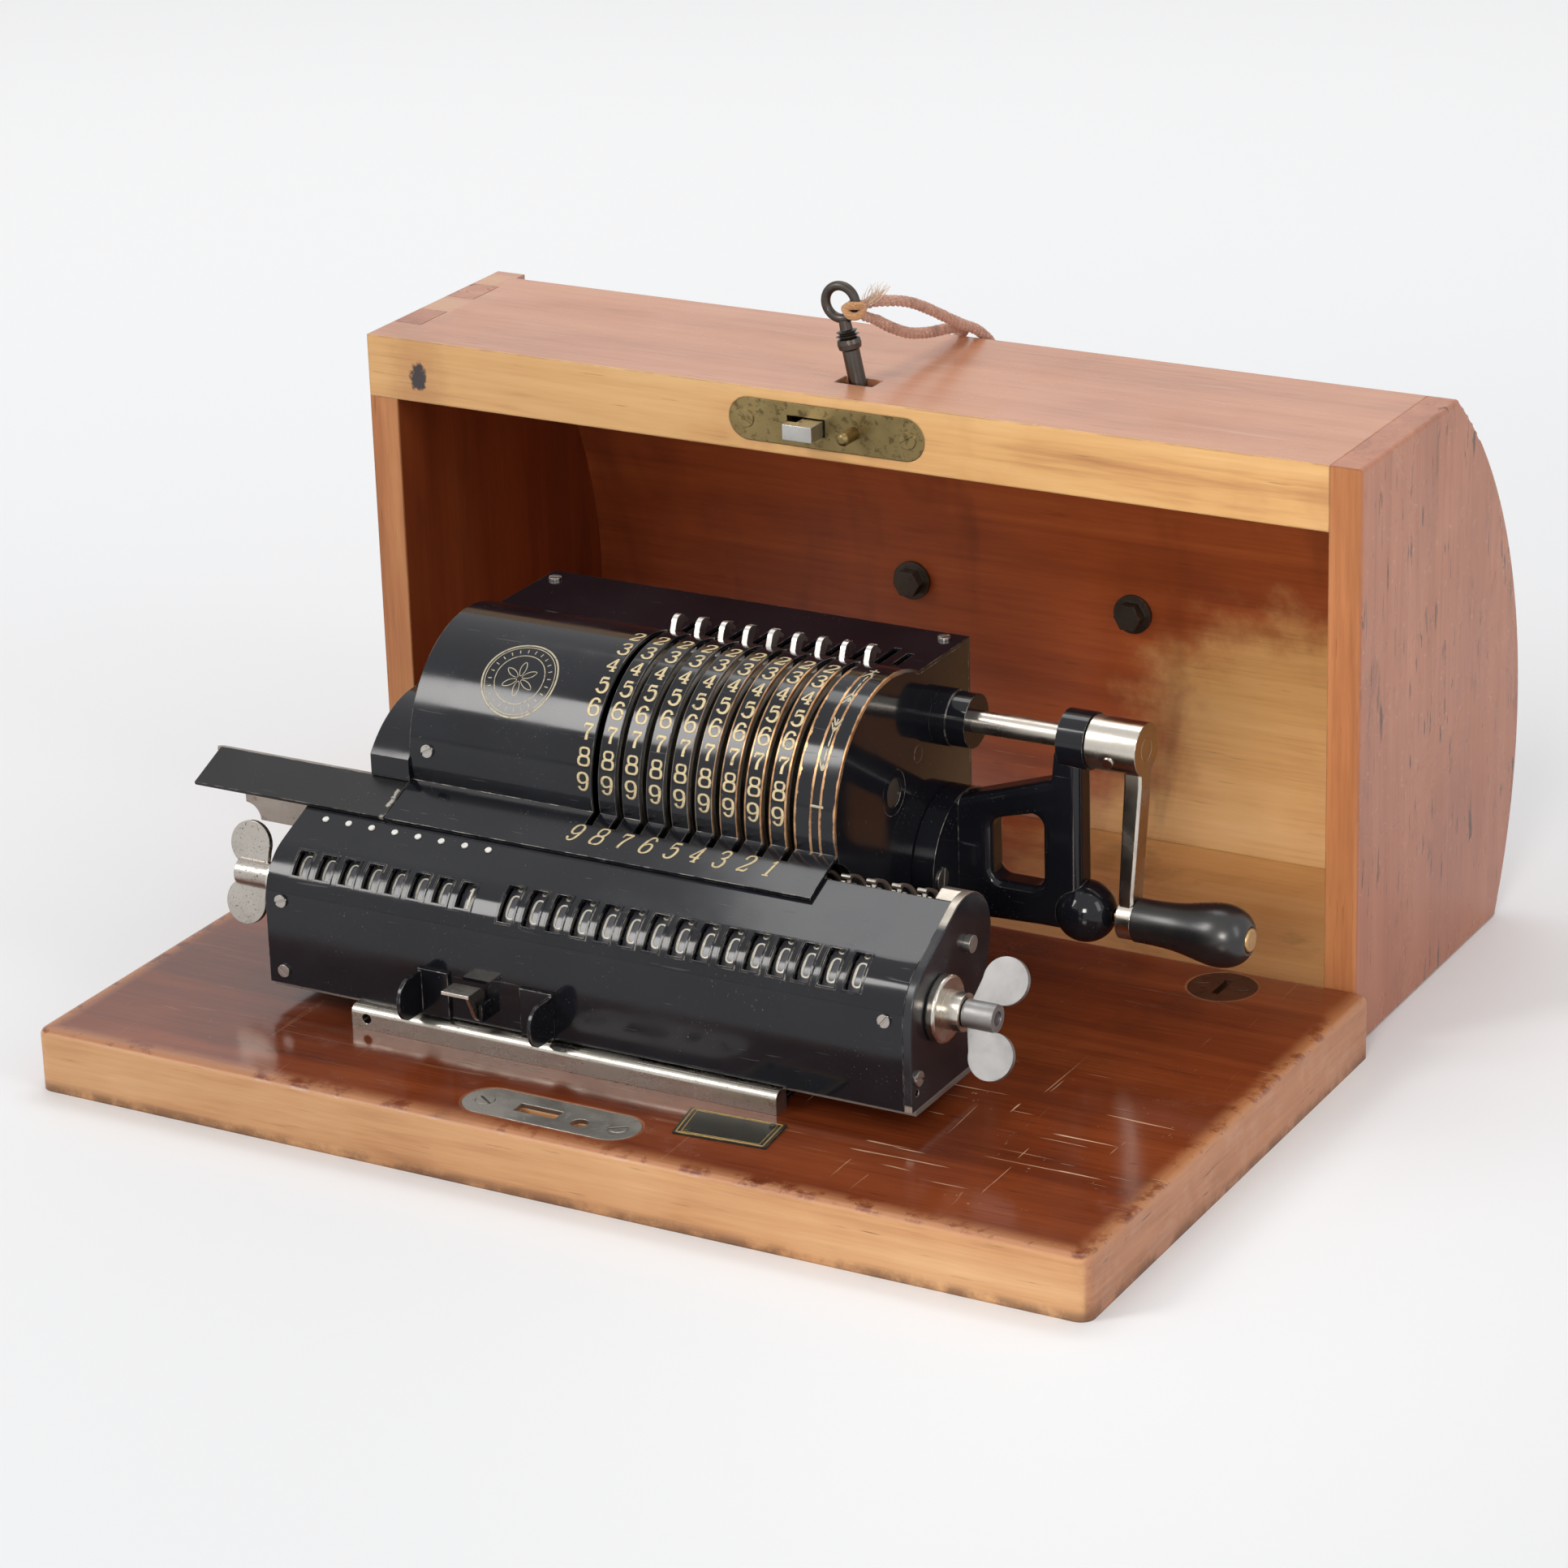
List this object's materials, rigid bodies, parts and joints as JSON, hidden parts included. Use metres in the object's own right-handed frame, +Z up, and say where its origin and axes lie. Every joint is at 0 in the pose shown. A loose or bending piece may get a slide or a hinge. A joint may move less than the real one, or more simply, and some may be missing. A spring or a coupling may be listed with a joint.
{
  "type": "pinwheel calculator",
  "caption": "Hand-cranked pinwheel calculating machine on a wooden base board, with its curved wooden case cover, lock and key standing behind it.",
  "frame": {"origin": "on the floor under the middle of the whole object's box", "axes": "+X to the crank side along the machine, +Y from the carriage to the case cover, +Z up"},
  "size_m": [0.4, 0.3818, 0.245],
  "materials": {
    "board_wood": "varnished",
    "case_wood": "worn satin",
    "black_lacquer": "glossy",
    "end_plate": "glossy",
    "nickel": "nickel plate",
    "steel": "bare steel",
    "wheel_black": "satin",
    "brass": "tarnished",
    "iron": "dark iron",
    "ebonite": "satin gloss",
    "enamel": "white enamel",
    "cotton": "cotton string"
  },
  "bodies": {
    "base": {"base_board": "board_wood", "strike_plate": "brass", "label_plate": "brass", "floor_disc": "brass", "front_rail": "nickel", "base_plate": "steel", "rear_guide": "steel", "side_frame_left": "black_lacquer", "side_frame_right": "black_lacquer", "drum_cover": "black_lacquer", "left_shell": "black_lacquer", "dust_shelf": "black_lacquer", "shelf_bracket": "steel", "rear_cover": "black_lacquer", "machine_screws": "steel", "shaft_bearings": "black_lacquer", "crank_bracket": "black_lacquer"},
    "crank": {"crank_shaft": "nickel", "crank_arm": "nickel"},
    "idler": {"idler_gear": "steel"},
    "stop_spindle": {"stop_spindle": "nickel"},
    "grip": {"grip": "ebonite"},
    "drum": {"pinwheel_drum": "steel"},
    "carriage": {"carriage_cover": "black_lacquer", "carriage_end_left": "black_lacquer", "carriage_end_right": "end_plate", "carriage_base": "steel", "bearing_flanges": "nickel", "carriage_screws": "steel", "decimal_studs": "enamel", "finger_tabs": "nickel"},
    "carry_levers": {"carry_levers": "steel"},
    "release_lever": {"release_lever": "nickel"},
    "result_register": {"result_wheels": "wheel_black", "result_wing": "nickel"},
    "counter_register": {"counter_wheels": "wheel_black", "counter_wing": "nickel"},
    "result_transfer": {"result_transfer": "steel"},
    "counter_transfer": {"counter_transfer": "steel"},
    "case": {"lock_panel": "case_wood", "back_panel": "case_wood", "roof_panel": "case_wood", "case_end_left": "case_wood", "case_end_right": "case_wood", "handle_fittings": "steel", "lock_case": "brass", "key_string": "cotton"},
    "case_handle": {"case_handle": "steel"},
    "lock_bolt": {"lock_bolt": "steel"},
    "key": {"key": "iron", "string_knot": "cotton"},
    "lever_1": {"setting_lever_1": "nickel"},
    "lever_2": {"setting_lever_2": "nickel"},
    "lever_3": {"setting_lever_3": "nickel"},
    "lever_4": {"setting_lever_4": "nickel"},
    "lever_5": {"setting_lever_5": "nickel"},
    "lever_6": {"setting_lever_6": "nickel"},
    "lever_7": {"setting_lever_7": "nickel"},
    "lever_8": {"setting_lever_8": "nickel"},
    "lever_9": {"setting_lever_9": "nickel"}
  },
  "joints": [
    {"name": "crank_turn", "type": "hinge", "parent": "base", "child": "crank", "pos_m": [0, -0.01455, 0.1179], "axis": [1, 0, 0], "continuous": true},
    {"name": "idler_turn", "type": "hinge", "parent": "base", "child": "idler", "pos_m": [0, -0.03245, 0.1102], "axis": [1, 0, 0], "continuous": true},
    {"name": "drum_turn", "type": "hinge", "parent": "base", "child": "drum", "pos_m": [0, -0.05035, 0.1025], "axis": [1, 0, 0], "continuous": true},
    {"name": "stop_push", "type": "slide", "parent": "crank", "child": "stop_spindle", "axis": [1, 0, 0], "range_m": [-0.0055, 0]},
    {"name": "grip_spin", "type": "hinge", "parent": "crank", "child": "grip", "pos_m": [0, -0.01455, 0.0557], "axis": [1, 0, 0], "continuous": true},
    {"name": "carriage_slide", "type": "slide", "parent": "base", "child": "carriage", "axis": [1, 0, 0], "range_m": [-0.047, 0.0188]},
    {"name": "carry_rock", "type": "hinge", "parent": "carriage", "child": "carry_levers", "pos_m": [0, -0.0887, 0.06158], "axis": [1, 0, 0], "range_deg": [-3, 3]},
    {"name": "release_press", "type": "hinge", "parent": "carriage", "child": "release_lever", "pos_m": [-0.0508, -0.14035, 0.038], "axis": [1, 0, 0], "range_deg": [0, 8], "stiffness_Nm_per_rad": 0.05},
    {"name": "result_clear", "type": "hinge", "parent": "carriage", "child": "result_register", "pos_m": [0, -0.11685, 0.0603], "axis": [1, 0, 0], "continuous": true},
    {"name": "counter_clear", "type": "hinge", "parent": "carriage", "child": "counter_register", "pos_m": [0, -0.11685, 0.0603], "axis": [1, 0, 0], "continuous": true},
    {"name": "result_transfer_turn", "type": "hinge", "parent": "carriage", "child": "result_transfer", "pos_m": [0, -0.09645, 0.075], "axis": [1, 0, 0], "continuous": true},
    {"name": "counter_transfer_turn", "type": "hinge", "parent": "carriage", "child": "counter_transfer", "pos_m": [0, -0.09645, 0.075], "axis": [1, 0, 0], "continuous": true},
    {"name": "case_away", "type": "slide", "parent": "base", "child": "case", "axis": [0, 1, 0], "range_m": [0, 0.15]},
    {"name": "handle_swing", "type": "hinge", "parent": "case", "child": "case_handle", "pos_m": [0.00024, 0.18645, 0.0935], "axis": [1, 0, 0], "range_deg": [0, 100]},
    {"name": "key_turn", "type": "hinge", "parent": "case", "child": "key", "pos_m": [-0.00576, 0.05255, 0.2093], "axis": [-0.2079, 0, 0.9781], "range_deg": [0, 90]},
    {"name": "bolt_slide", "type": "slide", "parent": "case", "child": "lock_bolt", "axis": [1, 0, 0], "range_m": [-0.006, 0]},
    {"name": "set_lever_1", "type": "hinge", "parent": "drum", "child": "lever_1", "pos_m": [0, -0.05035, 0.1025], "axis": [1, 0, 0], "range_deg": [0, 105.75]},
    {"name": "set_lever_2", "type": "hinge", "parent": "drum", "child": "lever_2", "pos_m": [0, -0.05035, 0.1025], "axis": [1, 0, 0], "range_deg": [0, 105.75]},
    {"name": "set_lever_3", "type": "hinge", "parent": "drum", "child": "lever_3", "pos_m": [0, -0.05035, 0.1025], "axis": [1, 0, 0], "range_deg": [0, 105.75]},
    {"name": "set_lever_4", "type": "hinge", "parent": "drum", "child": "lever_4", "pos_m": [0, -0.05035, 0.1025], "axis": [1, 0, 0], "range_deg": [0, 105.75]},
    {"name": "set_lever_5", "type": "hinge", "parent": "drum", "child": "lever_5", "pos_m": [0, -0.05035, 0.1025], "axis": [1, 0, 0], "range_deg": [0, 105.75]},
    {"name": "set_lever_6", "type": "hinge", "parent": "drum", "child": "lever_6", "pos_m": [0, -0.05035, 0.1025], "axis": [1, 0, 0], "range_deg": [0, 105.75]},
    {"name": "set_lever_7", "type": "hinge", "parent": "drum", "child": "lever_7", "pos_m": [0, -0.05035, 0.1025], "axis": [1, 0, 0], "range_deg": [0, 105.75]},
    {"name": "set_lever_8", "type": "hinge", "parent": "drum", "child": "lever_8", "pos_m": [0, -0.05035, 0.1025], "axis": [1, 0, 0], "range_deg": [0, 105.75]},
    {"name": "set_lever_9", "type": "hinge", "parent": "drum", "child": "lever_9", "pos_m": [0, -0.05035, 0.1025], "axis": [1, 0, 0], "range_deg": [0, 105.75]}
  ],
  "couplings": [
    {"joint": "idler_turn", "follows": "crank_turn", "ratio": -1},
    {"joint": "drum_turn", "follows": "crank_turn", "ratio": 1},
    {"joint": "result_transfer_turn", "follows": "result_clear", "ratio": -1},
    {"joint": "counter_transfer_turn", "follows": "counter_clear", "ratio": -1},
    {"joint": "key_turn", "follows": "bolt_slide", "rad_per_m": -261.8}
  ]
}
